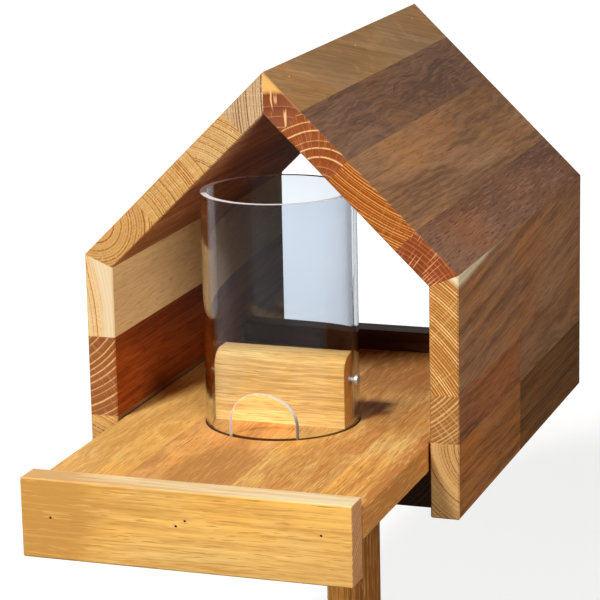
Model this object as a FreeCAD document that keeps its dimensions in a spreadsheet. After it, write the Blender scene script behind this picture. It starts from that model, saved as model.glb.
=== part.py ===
import FreeCAD, Part
import os
import Sketcher

# Bird feeding house in solid oak: a gabled tunnel of glued boards on a round post,
# with a feeding tray that slides out at the front and carries a clear seed tube.
# Frame: the origin is the middle of the post's foot, +Z is up and the front faces -Y.
# The tray stands drawn out by drawn_out from where its front board meets the base board.

SIZES = {
    # house
    "house_width": 250,
    "house_depth": 330,
    "wall_height": 158,
    "roof_pitch": 44.4,
    "board": 19,
    "arris": 0.8,
    # widths of the staves that the walls and roof slopes are glued up from
    "left_wall_lower": 50.5,
    "left_wall_middle": 53,
    "right_wall_lower": 49.5,
    "right_wall_middle": 31,
    "right_wall_butt": 153,
    "left_roof_ridge": 38,
    "left_roof_upper": 35,
    "left_roof_eave": 51,
    "right_roof_ridge": 34,
    "right_roof_upper": 42.5,
    "right_roof_eave": 38,
    # base and post
    "base_thickness": 23,
    "base_rise": 6.5,
    "base_staves": 5,
    "post_radius": 19,
    "post_length": 190,
    "post_chamfer": 1.5,
    # tray with its front and rear boards
    "tray_thickness": 19,
    "tray_length": 346,
    "side_clearance": 1.5,
    "drawn_out": 135,
    "tray_left_stave": 50.5,
    "tray_right_stave": 33.5,
    "tray_middle_joint": 15,
    "front_thickness": 19,
    "front_height": 50,
    "front_lip": 8,
    "rear_thickness": 19,
    "rear_lip": 14.3,
    "edge_radius": 1.2,
    # seed tube and the block that holds it
    "tube_radius": 50,
    "tube_wall": 4,
    "tube_headroom": 2.3,
    "tube_setback": 165,
    "tube_offset": 2,
    "groove_depth": 3,
    "groove_clearance": 0.3,
    "notch_width": 44,
    "notch_height": 30,
    "block_clearance": 0.8,
    "block_thickness": 22,
    "block_height": 46,
    "block_round": 6,
    # brads
    "brad_radius": 0.8,
    "brad_length": 35,
    "brad_sink": 0.6,
    "end_brad_inset": 19,
    "front_pair_left": 4.8,
    "front_pair_right": 1,
    "front_left_drop": 6.4,
    "front_pair_left_drop": 4.5,
    "front_pair_right_drop": 0.8,
    "front_right_drop": 2,
    "rear_brad_inner": 26,
    "roof_brad_inset": 30,
    # screws and dowels
    "screw_sink": 0.5,
    "block_screw_radius": 2,
    "block_screw_head": 4,
    "block_screw_head_height": 2.4,
    "block_screw_length": 38,
    "block_screw_reach": 27,
    "post_screw_radius": 2.5,
    "post_screw_head": 5,
    "post_screw_head_height": 3,
    "post_screw_length": 70,
    "post_screw_offset": 9,
    "tube_screw_radius": 1.6,
    "tube_screw_head": 3.2,
    "tube_screw_head_height": 1.8,
    "tube_screw_length": 22,
    "tube_screw_rise": 30,
    "dowel_radius": 4,
    "dowel_length": 40,
    "dowel_in_wall": 12,
    "dowel_spacing": 120,
    # room round a fastener, and the length by which a cutter passes the piece it cuts
    "fastener_fit": 0.05,
    "cutter_spare": 5,
}

doc = FreeCAD.newDocument("BirdFeedingHouse")
sheet = doc.addObject("Spreadsheet::Sheet", "Sizes")
for row, (alias, value) in enumerate(SIZES.items(), 1):
    sheet.set(f"A{row}", alias)
    sheet.set(f"B{row}", str(value))
    sheet.setAlias(f"B{row}", alias)
doc.recompute()

X_AXIS = FreeCAD.Vector(1, 0, 0)
Y_AXIS = FreeCAD.Vector(0, 1, 0)
Z_AXIS = FreeCAD.Vector(0, 0, 1)
TOUCH = 1e-6  # lengths and cosines closer than this count as equal
FIRST_TURN = 10  # any turn but zero keeps a rotation's axis until an expression sets the angle

# Levels and lines that several pieces share, as expressions of the sheet's cells
PITCH = "(Sizes.roof_pitch * 1 deg)"
HALF_WIDTH = "(Sizes.house_width / 2)"
HALF_DEPTH = "(Sizes.house_depth / 2)"
INNER_HALF = "(Sizes.house_width / 2 - Sizes.board)"
HOUSE_FOOT = "(Sizes.post_length - Sizes.base_rise)"
EAVE = f"({HOUSE_FOOT} + Sizes.wall_height)"
EAVE_INSIDE = f"({EAVE} - Sizes.board * (1 / cos({PITCH}) - tan({PITCH})))"
RIDGE = f"({EAVE} + {HALF_WIDTH} * tan({PITCH}))"
RIDGE_INSIDE = f"({RIDGE} - Sizes.board / cos({PITCH}))"
SLOPE = f"({HALF_WIDTH} / cos({PITCH}))"
BASE_TOP = "(Sizes.post_length + Sizes.base_thickness)"
TRAY_TOP = f"({BASE_TOP} + Sizes.tray_thickness)"
TRAY_HALF = f"({INNER_HALF} - Sizes.side_clearance)"
TRAY_FRONT = f"(-{HALF_DEPTH} - Sizes.drawn_out)"
TRAY_REAR = f"({TRAY_FRONT} + Sizes.tray_length)"
TRAY_MIDDLE = f"({TRAY_FRONT} + Sizes.tray_length / 2)"
TRAY_EDGE_MIDDLE = f"({BASE_TOP} + Sizes.tray_thickness / 2)"
TUBE_X = "(-Sizes.tube_offset)"
TUBE_Y = f"({TRAY_FRONT} + Sizes.tube_setback)"
TUBE_FOOT = f"({TRAY_TOP} - Sizes.groove_depth)"
TUBE_INNER = "(Sizes.tube_radius - Sizes.tube_wall)"
TUBE_REACH = "(Sizes.tube_radius + abs(Sizes.tube_offset))"
TUBE_TOP = f"({RIDGE_INSIDE} - {TUBE_REACH} * tan({PITCH}) - Sizes.tube_headroom)"
TUBE_HEIGHT = f"({TUBE_TOP} - {TUBE_FOOT})"
BLOCK_HALF = f"(sqrt({TUBE_INNER}^2 - (Sizes.block_thickness / 2)^2) - Sizes.block_clearance)"
SPARE = "Sizes.cutter_spare"
FIT = "Sizes.fastener_fit"

# Ways in which a fastener is driven: axis and angle that turn +Z that way, and the direction
UP = (Y_AXIS, "0", ("0", "0", "1"))
DOWN = (Y_AXIS, "180", ("0", "0", "-1"))
BACKWARD = (X_AXIS, "-90", ("0", "1", "0"))
FORWARD = (X_AXIS, "90", ("0", "-1", "0"))
RIGHTWARD = (Y_AXIS, "90", ("1", "0", "0"))
LEFTWARD = (Y_AXIS, "-90", ("-1", "0", "0"))
INTO_RIGHT_SLOPE = (Y_AXIS, "180 + Sizes.roof_pitch", (f"-sin({PITCH})", "0", f"-cos({PITCH})"))


def measure(expression):
    """Value of an expression of the sheet's cells."""
    return float(sheet.evalExpression(expression))


def bind(item, expressions):
    for path, expression in expressions.items():
        item.setExpression(path, expression)


def place(item, corner, axis=None, angle=None):
    """Puts an item at a corner given by expressions, turned about an axis."""
    if axis is not None:
        item.Placement = FreeCAD.Placement(FreeCAD.Vector(), FreeCAD.Rotation(axis, FIRST_TURN))
        item.setExpression("Placement.Rotation.Angle", f"({angle}) * 1 deg")
    for letter, expression in zip("xyz", corner):
        item.setExpression(f"Placement.Base.{letter}", expression)
    return item


def box(name, corner, size, axis=None, angle=None):
    item = doc.addObject("Part::Box", name)
    bind(item, dict(zip(("Length", "Width", "Height"), size)))
    return place(item, corner, axis, angle)


def cylinder(name, foot, radius, height, aim=UP):
    item = doc.addObject("Part::Cylinder", name)
    bind(item, {"Radius": radius, "Height": height})
    return place(item, foot, aim[0], aim[1])


def cone(name, foot, radius, far_radius, height, aim):
    item = doc.addObject("Part::Cone", name)
    bind(item, {"Radius1": radius, "Radius2": far_radius, "Height": height})
    return place(item, foot, aim[0], aim[1])


def fuse(name, items):
    item = doc.addObject("Part::MultiFuse", name)
    item.Shapes = items
    return item


def cut(name, base, tools):
    """The base less its tools, which are first joined into one."""
    item = doc.addObject("Part::Cut", name)
    item.Base = base
    item.Tool = tools[0] if len(tools) == 1 else fuse(f"{name}_cutters", tools)
    return item


def common(name, base, tool):
    item = doc.addObject("Part::Common", name)
    item.Base = base
    item.Tool = tool
    return item


def group(name, items):
    """Separate solids that share one node."""
    item = doc.addObject("Part::Compound", name)
    item.Links = items
    return item


def along(point, aim, distance):
    """A point moved by a distance in the direction of an aim."""
    return tuple(f"({at}) + ({way}) * ({distance})" for at, way in zip(point, aim[2]))


def origin_plane(body, role):
    return next(item for item in body.Origin.OriginFeatures if item.Role == role)


def outline_pad(name, corners, length):
    """A body padded both ways from the XZ plane, with corners given by expressions."""
    body = doc.addObject("PartDesign::Body", name)
    sketch = body.newObject("Sketcher::SketchObject", f"{name}_outline")
    sketch.AttachmentSupport = [(origin_plane(body, "XZ_Plane"), "")]
    sketch.MapMode = "FlatFace"
    points = [FreeCAD.Vector(measure(x), measure(z), 0) for x, z in corners]
    count = len(points)
    for index in range(count):
        sketch.addGeometry(Part.LineSegment(points[index], points[(index + 1) % count]), False)
    for index in range(count):
        sketch.addConstraint(Sketcher.Constraint("Coincident", index, 2, (index + 1) % count, 1))
    for index, (x, z) in enumerate(corners):
        if x == "0":
            sketch.addConstraint(Sketcher.Constraint("PointOnObject", index, 1, -2))
        else:
            at_x = sketch.addConstraint(Sketcher.Constraint("DistanceX", -1, 1, index, 1, points[index].x))
            sketch.setExpression(f"Constraints[{at_x}]", x)
        at_z = sketch.addConstraint(Sketcher.Constraint("DistanceY", -1, 1, index, 1, points[index].y))
        sketch.setExpression(f"Constraints[{at_z}]", z)
    pad = body.newObject("PartDesign::Pad", f"{name}_pad")
    pad.Profile = sketch
    pad.SideType = "Symmetric"
    pad.setExpression("Length", length)
    doc.recompute()
    return body, pad


def edge_names(feature, wanted):
    return [f"Edge{number}" for number, edge in enumerate(feature.Shape.Edges, 1) if wanted(edge)]


def heading(edge):
    first, last = edge.Vertexes[0].Point, edge.Vertexes[-1].Point
    return (last - first).normalize()


def is_parallel(edge, direction):
    return abs(abs(heading(edge).dot(direction)) - 1) < TOUCH


def chamfer_edges(body, feature, wanted, size):
    chamfer = body.newObject("PartDesign::Chamfer", f"{body.Name}_arris")
    chamfer.Base = (feature, edge_names(feature, wanted))
    chamfer.setExpression("Size", size)
    doc.recompute()


def fillet_edges(body, feature, wanted, radius, name):
    fillet = body.newObject("PartDesign::Fillet", f"{body.Name}_{name}")
    fillet.Base = (feature, edge_names(feature, wanted))
    fillet.setExpression("Radius", radius)
    doc.recompute()


def house_panel(name, corners, runs):
    """A panel as deep as the house; its end edges along the given runs are eased,
    and so are the long edges that it stands on."""
    body, pad = outline_pad(name, corners, "Sizes.house_depth")
    half_depth = measure(HALF_DEPTH)
    foot = measure(HOUSE_FOOT)

    def wanted(edge):
        middle = edge.CenterOfMass
        if abs(abs(middle.y) - half_depth) < TOUCH:
            return any(is_parallel(edge, run) for run in runs)
        return abs(middle.z - foot) < TOUCH
    chamfer_edges(body, pad, wanted, "Sizes.arris")
    return body


def mirrored(corners):
    return [("0" if x == "0" else f"-({x})", z) for x, z in corners]


def brads(name, heads, aim):
    """Headless brads driven just below the surface, and the holes that they fill."""
    pins = []
    holes = []
    for number, head in enumerate(heads, 1):
        start = along(head, aim, "Sizes.brad_sink")
        pins.append(cylinder(f"{name}_{number}", start, "Sizes.brad_radius", "Sizes.brad_length", aim))
        holes.append(cylinder(f"{name}_hole_{number}", head, f"Sizes.brad_radius + {FIT}",
                              f"Sizes.brad_sink + Sizes.brad_length + {FIT}", aim))
    return pins, holes


def countersunk_screws(name, heads, aim, kind):
    """Wood screws with a countersunk head just below the surface, and their stepped holes."""
    radius, head_radius = f"Sizes.{kind}_radius", f"Sizes.{kind}_head"
    head_height, length = f"Sizes.{kind}_head_height", f"Sizes.{kind}_length"
    screws = []
    holes = []
    for number, head in enumerate(heads, 1):
        top = along(head, aim, "Sizes.screw_sink")
        neck = along(head, aim, f"Sizes.screw_sink + {head_height}")
        parts = [
            cone(f"{name}_head_{number}", top, head_radius, radius, head_height, aim),
            cylinder(f"{name}_shank_{number}", neck, radius, f"{length} - {head_height}", aim),
        ]
        screws.append(fuse(f"{name}_{number}", parts))
        mouth, bore = f"{head_radius} + {FIT}", f"{radius} + {FIT}"
        holes += [
            cylinder(f"{name}_mouth_{number}", head, mouth, "Sizes.screw_sink", aim),
            cone(f"{name}_sink_{number}", top, mouth, bore, head_height, aim),
            cylinder(f"{name}_hole_{number}", neck, bore, f"{length} - {head_height} + {FIT}", aim),
        ]
    return screws, holes


nodes = {}


def keep(name, item):
    item.Label = name
    nodes[name] = item


# Walls and roof slopes, mitred together at the eaves and the ridge
wall_outline = [
    (HALF_WIDTH, HOUSE_FOOT),
    (HALF_WIDTH, EAVE),
    (INNER_HALF, EAVE_INSIDE),
    (INNER_HALF, HOUSE_FOOT),
]
roof_outline = [
    (HALF_WIDTH, EAVE),
    ("0", RIDGE),
    ("0", RIDGE_INSIDE),
    (INNER_HALF, EAVE_INSIDE),
]
pitch_turn = FreeCAD.Rotation(Y_AXIS, measure("Sizes.roof_pitch"))
right_fall = pitch_turn.multVec(X_AXIS)
left_fall = FreeCAD.Vector(-right_fall.x, 0, right_fall.z)
right_wall = house_panel("right_wall_panel", wall_outline, [X_AXIS, Z_AXIS])
left_wall = house_panel("left_wall_panel", mirrored(wall_outline), [X_AXIS, Z_AXIS])
right_roof = house_panel("right_roof_panel", roof_outline, [right_fall])
left_roof = house_panel("left_roof_panel", mirrored(roof_outline), [left_fall])

# Base board between the walls, flush with their front and rear ends
base_outline = [
    (f"-{INNER_HALF}", "Sizes.post_length"),
    (INNER_HALF, "Sizes.post_length"),
    (INNER_HALF, BASE_TOP),
    (f"-{INNER_HALF}", BASE_TOP),
]
base = house_panel("base_panel", base_outline, [X_AXIS])

# Brads that pull the mitres together: across the ridge, and down into each wall
brad_rows = [f"-{HALF_DEPTH} + Sizes.roof_brad_inset", "0", f"{HALF_DEPTH} - Sizes.roof_brad_inset"]
ridge_head = (f"Sizes.board / 2 * cos({PITCH})", f"{RIDGE} - Sizes.board / 2 * sin({PITCH})")
ridge_heads = [(ridge_head[0], y, ridge_head[1]) for y in brad_rows]
eave_x = f"({HALF_WIDTH} - Sizes.board / 2)"
eave_z = f"({EAVE} + Sizes.board / 2 * tan({PITCH}))"
right_eave_heads = [(eave_x, y, eave_z) for y in brad_rows]
left_eave_heads = [(f"-{eave_x}", y, eave_z) for y in brad_rows]
ridge_brads, ridge_holes = brads("ridge_brad", ridge_heads, INTO_RIGHT_SLOPE)
right_eave_brads, right_eave_holes = brads("right_eave_brad", right_eave_heads, DOWN)
left_eave_brads, left_eave_holes = brads("left_eave_brad", left_eave_heads, DOWN)
keep("ridge_brads", group("ridge_brad_set", ridge_brads))
keep("eave_brads", group("eave_brad_set", left_eave_brads + right_eave_brads))

# Dowels between the base board's edges and the walls
base_middle = "(Sizes.post_length + Sizes.base_thickness / 2)"
dowel_start = f"({INNER_HALF} + Sizes.dowel_in_wall)"
dowels = {"left": [], "right": []}
dowel_holes = {"left": [], "right": []}
for row, shift in enumerate(("-Sizes.dowel_spacing", "0", "Sizes.dowel_spacing"), 1):
    for side, sign, aim in (("left", "-", RIGHTWARD), ("right", "", LEFTWARD)):
        start = (f"{sign}{dowel_start}", shift, base_middle)
        dowel = cylinder(f"{side}_dowel_{row}", start, "Sizes.dowel_radius", "Sizes.dowel_length", aim)
        hole = cylinder(f"{side}_dowel_hole_{row}", along(start, aim, f"-{FIT}"),
                        f"Sizes.dowel_radius + {FIT}", f"Sizes.dowel_length + 2 * {FIT}", aim)
        dowels[side].append(dowel)
        dowel_holes[side].append(hole)
keep("base_dowels", group("base_dowel_set", dowels["left"] + dowels["right"]))

# Screws through the base board into the top of the post
post_heads = [("0", f"{sign}Sizes.post_screw_offset", BASE_TOP) for sign in ("-", "")]
post_screws, post_holes = countersunk_screws("post_screw", post_heads, DOWN, "post_screw")
keep("post_screws", group("post_screw_set", post_screws))

left_wall = cut("left_wall_drilled", left_wall, left_eave_holes + dowel_holes["left"])
right_wall = cut("right_wall_drilled", right_wall, right_eave_holes + dowel_holes["right"])
left_roof = cut("left_roof_drilled", left_roof, left_eave_holes + ridge_holes)
right_roof = cut("right_roof_drilled", right_roof, right_eave_holes + ridge_holes)
base = cut("base_drilled", base, dowel_holes["left"] + dowel_holes["right"] + post_holes)


def wall_stave(name, panel, low, high, front=f"-{HALF_DEPTH} - {SPARE}", rear=f"{HALF_DEPTH} + {SPARE}"):
    """The part of a wall between two heights, over the house's depth or a stretch of it."""
    corner = (f"-{HALF_WIDTH} - {SPARE}", front, low)
    size = (f"Sizes.house_width + 2 * {SPARE}", f"({rear}) - ({front})", f"({high}) - ({low})")
    keep(name, common(f"{name}_piece", panel, box(f"{name}_slab", corner, size)))


def roof_stave(name, panel, side, start, end):
    """The part of a roof slope between two distances from the ridge, measured down the slope."""
    depth = f"(Sizes.board + {SPARE})"
    if side == "right":
        x = f"({start}) * cos({PITCH}) - {depth} * sin({PITCH})"
        z = f"{RIDGE} - ({start}) * sin({PITCH}) - {depth} * cos({PITCH})"
        angle = "Sizes.roof_pitch"
    else:
        x = f"-({start}) * cos({PITCH}) - {depth} * sin({PITCH})"
        z = f"{RIDGE} - ({start}) * sin({PITCH}) + {depth} * cos({PITCH})"
        angle = "180 - Sizes.roof_pitch"
    size = (f"({end}) - ({start})", f"Sizes.house_depth + 2 * {SPARE}", f"2 * {depth}")
    slab = box(f"{name}_slab", (x, f"-{HALF_DEPTH} - {SPARE}", z), size, Y_AXIS, angle)
    keep(name, common(f"{name}_piece", panel, slab))


below_foot = f"{HOUSE_FOOT} - {SPARE}"
above_eave = f"{EAVE} + {SPARE}"
left_low_joint = f"{HOUSE_FOOT} + Sizes.left_wall_lower"
left_high_joint = f"{left_low_joint} + Sizes.left_wall_middle"
wall_stave("left_wall_lower_stave", left_wall, below_foot, left_low_joint)
wall_stave("left_wall_middle_stave", left_wall, left_low_joint, left_high_joint)
wall_stave("left_wall_upper_stave", left_wall, left_high_joint, above_eave)

# The right wall's two lower staves are each joined end to end from two lengths
right_low_joint = f"{HOUSE_FOOT} + Sizes.right_wall_lower"
right_high_joint = f"{right_low_joint} + Sizes.right_wall_middle"
butt = f"-{HALF_DEPTH} + Sizes.right_wall_butt"
split_levels = (("lower", below_foot, right_low_joint), ("middle", right_low_joint, right_high_joint))
for level, low, high in split_levels:
    wall_stave(f"right_wall_{level}_front_stave", right_wall, low, high, rear=butt)
    wall_stave(f"right_wall_{level}_rear_stave", right_wall, low, high, front=butt)
wall_stave("right_wall_upper_stave", right_wall, right_high_joint, above_eave)

for side, panel in (("left", left_roof), ("right", right_roof)):
    first = f"Sizes.{side}_roof_ridge"
    second = f"{first} + Sizes.{side}_roof_upper"
    third = f"{SLOPE} - Sizes.{side}_roof_eave"
    roof_stave(f"{side}_roof_ridge_stave", panel, side, f"-{SPARE}", first)
    roof_stave(f"{side}_roof_upper_stave", panel, side, first, second)
    roof_stave(f"{side}_roof_lower_stave", panel, side, second, third)
    roof_stave(f"{side}_roof_eave_stave", panel, side, third, f"{SLOPE} + {SPARE}")

base_stave_width = f"(2 * {INNER_HALF} / Sizes.base_staves)"
for number in range(int(SIZES["base_staves"])):
    name = f"base_stave_{number + 1}"
    left = f"-{INNER_HALF} + {number} * {base_stave_width}"
    corner = (left, f"-{HALF_DEPTH} - {SPARE}", f"Sizes.post_length - {SPARE}")
    size = (base_stave_width, f"Sizes.house_depth + 2 * {SPARE}", f"Sizes.base_thickness + 2 * {SPARE}")
    keep(name, common(f"{name}_piece", base, box(f"{name}_slab", corner, size)))

# Round post, chamfered at the foot, with its top end against the base board
post_body = doc.addObject("PartDesign::Body", "post_body")
post_sketch = post_body.newObject("Sketcher::SketchObject", "post_outline")
post_sketch.AttachmentSupport = [(origin_plane(post_body, "XY_Plane"), "")]
post_sketch.MapMode = "FlatFace"
post_sketch.addGeometry(Part.Circle(FreeCAD.Vector(), Z_AXIS, measure("Sizes.post_radius")), False)
post_sketch.addConstraint(Sketcher.Constraint("Coincident", 0, 3, -1, 1))
post_round = post_sketch.addConstraint(Sketcher.Constraint("Radius", 0, measure("Sizes.post_radius")))
post_sketch.setExpression(f"Constraints[{post_round}]", "Sizes.post_radius")
post_pad = post_body.newObject("PartDesign::Pad", "post_pad")
post_pad.Profile = post_sketch
post_pad.setExpression("Length", "Sizes.post_length")
doc.recompute()
chamfer_edges(post_body, post_pad,
              lambda edge: abs(edge.BoundBox.ZMax) < TOUCH, "Sizes.post_chamfer")
keep("post", cut("post_drilled", post_body, post_holes))

# Front and rear boards of the tray
front_top = f"({TRAY_TOP} + Sizes.front_lip)"
rear_top = f"({TRAY_TOP} + Sizes.rear_lip)"


def end_board(name, low, high, thickness, middle):
    """A board across the tray's end, rounded over on every edge."""
    corners = [(f"-{TRAY_HALF}", low), (TRAY_HALF, low), (TRAY_HALF, high), (f"-{TRAY_HALF}", high)]
    body, pad = outline_pad(name, corners, thickness)
    fillet_edges(body, pad, lambda edge: True, "Sizes.edge_radius", "round_over")
    body.setExpression("Placement.Base.y", middle)
    return body


front_board = end_board("front_board_blank", f"{front_top} - Sizes.front_height", front_top,
                        "Sizes.front_thickness", f"{TRAY_FRONT} - Sizes.front_thickness / 2")
rear_board = end_board("rear_board_blank", BASE_TOP, rear_top,
                       "Sizes.rear_thickness", f"{TRAY_REAR} + Sizes.rear_thickness / 2")

# Brads through the end boards into the tray's edges
front_face = f"{TRAY_FRONT} - Sizes.front_thickness"
rear_face = f"{TRAY_REAR} + Sizes.rear_thickness"
end_brad_x = f"({TRAY_HALF} - Sizes.end_brad_inset)"
front_places = (
    (f"-{end_brad_x}", "Sizes.front_left_drop"),
    ("-Sizes.front_pair_left", "Sizes.front_pair_left_drop"),
    ("Sizes.front_pair_right", "Sizes.front_pair_right_drop"),
    (end_brad_x, "Sizes.front_right_drop"),
)
front_heads = [(x, front_face, f"{TRAY_EDGE_MIDDLE} - {drop}") for x, drop in front_places]
rear_places = (f"-{end_brad_x}", "-Sizes.rear_brad_inner", "Sizes.rear_brad_inner", end_brad_x)
rear_heads = [(x, rear_face, TRAY_EDGE_MIDDLE) for x in rear_places]
front_brads, front_holes = brads("front_brad", front_heads, BACKWARD)
rear_brads, rear_holes = brads("rear_brad", rear_heads, FORWARD)
keep("front_board_brads", group("front_brad_set", front_brads))
keep("rear_board_brads", group("rear_brad_set", rear_brads))
keep("front_board", cut("front_board_drilled", front_board, front_holes))
keep("rear_board", cut("rear_board_drilled", rear_board, rear_holes))

# Tray board with the round groove that the tube stands in
tray_outline = [
    (f"-{TRAY_HALF}", BASE_TOP),
    (TRAY_HALF, BASE_TOP),
    (TRAY_HALF, TRAY_TOP),
    (f"-{TRAY_HALF}", TRAY_TOP),
]
tray_body, tray_pad = outline_pad("tray_blank", tray_outline, "Sizes.tray_length")
chamfer_edges(tray_body, tray_pad, lambda edge: is_parallel(edge, Y_AXIS), "Sizes.arris")
tray_body.setExpression("Placement.Base.y", TRAY_MIDDLE)
tube_foot = (TUBE_X, TUBE_Y, TUBE_FOOT)
groove_height = f"Sizes.groove_depth + {SPARE}"
groove_outer = "Sizes.tube_radius + Sizes.groove_clearance"
groove_inner = f"{TUBE_INNER} - Sizes.groove_clearance"
groove_rim = cylinder("groove_rim", tube_foot, groove_outer, groove_height)
groove_core = cylinder("groove_core", tube_foot, groove_inner, groove_height)
groove = cut("tube_groove", groove_rim, [groove_core])

# Screws from below that hold the block to the tray
block_heads = [(f"{TUBE_X} {sign} Sizes.block_screw_reach", TUBE_Y, BASE_TOP) for sign in "-+"]
block_screws, block_holes = countersunk_screws("block_screw", block_heads, UP, "block_screw")
keep("block_screws", group("block_screw_set", block_screws))
tray = cut("tray_worked", tray_body, [groove] + front_holes + rear_holes + block_holes)

tray_joints = [
    f"-{TRAY_HALF}",
    f"-{TRAY_HALF} + Sizes.tray_left_stave",
    "Sizes.tray_middle_joint",
    f"{TRAY_HALF} - Sizes.tray_right_stave",
    TRAY_HALF,
]
for number in range(len(tray_joints) - 1):
    name = f"tray_stave_{number + 1}"
    left, right = tray_joints[number], tray_joints[number + 1]
    corner = (left, f"{TRAY_FRONT} - {SPARE}", f"{BASE_TOP} - {SPARE}")
    depth, height = f"Sizes.tray_length + 2 * {SPARE}", f"Sizes.tray_thickness + 2 * {SPARE}"
    size = (f"({right}) - ({left})", depth, height)
    keep(name, common(f"{name}_piece", tray, box(f"{name}_slab", corner, size)))

# Clear seed tube with arched outlets at the front and the back, on the tray's middle line
tube_outside = cylinder("tube_outside", tube_foot, "Sizes.tube_radius", TUBE_HEIGHT)
tube_inside = cylinder("tube_inside", (TUBE_X, TUBE_Y, f"{TUBE_FOOT} - {SPARE}"), TUBE_INNER,
                       f"{TUBE_HEIGHT} + 2 * {SPARE}")
tube_blank = cut("tube_blank", tube_outside, [tube_inside])
notch_front = f"{TUBE_Y} - Sizes.tube_radius - {SPARE}"
notch_run = f"2 * (Sizes.tube_radius + {SPARE})"
notch_spring = f"{TRAY_TOP} + Sizes.notch_height - Sizes.notch_width / 2"
notch_legs = box("notch_legs", ("-Sizes.notch_width / 2", notch_front, f"{TUBE_FOOT} - {SPARE}"),
                 ("Sizes.notch_width", notch_run, f"{notch_spring} - ({TUBE_FOOT} - {SPARE})"))
notch_axis = ("0", notch_front, notch_spring)
notch_arch = cylinder("notch_arch", notch_axis, "Sizes.notch_width / 2", notch_run, BACKWARD)

# Small screws through the tube's sides into the ends of the block
tube_screws = []
tube_screw_holes = []
for side, sign, aim in (("left", "-", RIGHTWARD), ("right", "+", LEFTWARD)):
    seat = (f"{TUBE_X} {sign} Sizes.tube_radius", TUBE_Y, f"{TRAY_TOP} + Sizes.tube_screw_rise")
    head_height, length = "Sizes.tube_screw_head_height", "Sizes.tube_screw_length"
    outer = along(seat, aim, f"-{head_height}")
    head = cylinder(f"{side}_tube_screw_head", outer, "Sizes.tube_screw_head", head_height, aim)
    shank = cylinder(f"{side}_tube_screw_shank", seat, "Sizes.tube_screw_radius", length, aim)
    tube_screws.append(fuse(f"{side}_tube_screw", [head, shank]))
    hole = cylinder(f"{side}_tube_screw_hole", outer, f"Sizes.tube_screw_radius + {FIT}",
                    f"{head_height} + {length} + {FIT}", aim)
    tube_screw_holes.append(hole)
keep("tube_screws", group("tube_screw_set", tube_screws))
keep("seed_tube", cut("tube_cut", tube_blank, [notch_legs, notch_arch] + tube_screw_holes))

# Block inside the tube, rounded over at the top, that parts the seed towards both outlets
block_outline = [
    (f"-{BLOCK_HALF}", TRAY_TOP),
    (BLOCK_HALF, TRAY_TOP),
    (BLOCK_HALF, f"{TRAY_TOP} + Sizes.block_height"),
    (f"-{BLOCK_HALF}", f"{TRAY_TOP} + Sizes.block_height"),
]
block_body, block_pad = outline_pad("block_blank", block_outline, "Sizes.block_thickness")
block_top = measure(f"{TRAY_TOP} + Sizes.block_height")
fillet_edges(block_body, block_pad, lambda edge: abs(edge.BoundBox.ZMin - block_top) < TOUCH,
             "Sizes.block_round", "top_round")
block_body.setExpression("Placement.Base.x", TUBE_X)
block_body.setExpression("Placement.Base.y", TUBE_Y)
keep("seed_block", cut("block_drilled", block_body, block_holes + tube_screw_holes))

doc.recompute()

# Every object is sound before anything is written
for item in doc.Objects:
    if "Invalid" in item.State or "Error" in item.State:
        raise RuntimeError(f"{item.Name} failed: {item.State}")
for name, item in nodes.items():
    shape = item.Shape
    if shape.isNull() or not shape.isValid() or not shape.Solids:
        raise RuntimeError(f"{name} has no sound solid")

os.makedirs("parts", exist_ok=True)
for name, item in nodes.items():
    item.Shape.exportStep(f"parts/{name}.step")
    volume = sum(solid.Volume for solid in item.Shape.Solids)
    print(f"{name}: {len(item.Shape.Solids)} solid(s), {volume / 1000:.1f} cm3")
print(f"{len(nodes)} nodes")
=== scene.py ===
# %% [markdown]
# # A bird feeding house in oiled oak
# The model is an open oak house on a post, with a drawer-like tray and a clear seed tube. Its solids come
# ready made, in metres, so this lesson never moves or reshapes them. It adds the camera, the light and the
# finishes. The box round the bare solids is kept here, and the floor is laid at its foot.

# %% Load the solids
from math import cos, pi, radians, sin, tau

import bpy
from mathutils import Matrix, Vector


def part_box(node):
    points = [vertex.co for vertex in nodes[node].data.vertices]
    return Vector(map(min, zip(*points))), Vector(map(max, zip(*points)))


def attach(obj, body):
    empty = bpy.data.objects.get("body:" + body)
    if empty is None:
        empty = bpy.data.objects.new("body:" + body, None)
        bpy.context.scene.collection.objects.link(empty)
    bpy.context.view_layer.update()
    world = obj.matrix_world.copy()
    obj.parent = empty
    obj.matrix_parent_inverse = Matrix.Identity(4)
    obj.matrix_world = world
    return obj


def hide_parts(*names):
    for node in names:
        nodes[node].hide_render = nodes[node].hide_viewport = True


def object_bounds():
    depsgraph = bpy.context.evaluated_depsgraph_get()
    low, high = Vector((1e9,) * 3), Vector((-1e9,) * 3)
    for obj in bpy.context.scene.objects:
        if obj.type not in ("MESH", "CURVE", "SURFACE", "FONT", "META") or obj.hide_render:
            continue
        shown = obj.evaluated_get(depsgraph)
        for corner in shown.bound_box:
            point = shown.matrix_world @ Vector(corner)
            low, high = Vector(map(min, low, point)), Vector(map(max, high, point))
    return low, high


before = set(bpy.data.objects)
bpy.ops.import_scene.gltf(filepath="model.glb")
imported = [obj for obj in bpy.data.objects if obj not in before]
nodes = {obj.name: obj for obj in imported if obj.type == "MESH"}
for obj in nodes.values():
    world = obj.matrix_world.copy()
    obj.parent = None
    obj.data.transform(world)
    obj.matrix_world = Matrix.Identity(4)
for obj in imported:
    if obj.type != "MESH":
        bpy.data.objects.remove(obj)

cad_low, cad_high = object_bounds()
scene = bpy.context.scene
scene.view_settings.view_transform = "Standard"
print("solids", len(nodes), "box in mm", [round(1000 * side) for side in Vector(cad_high) - Vector(cad_low)])

# %% [markdown]
# ## The camera
# A product picture like this is taken with a long lens from a few steps away, so the edges that run back
# hardly draw together. The camera could be placed by eye, but an orbit is easier to read: a point to look
# at, how far to walk round it, how high to climb and how far to stand off.

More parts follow.
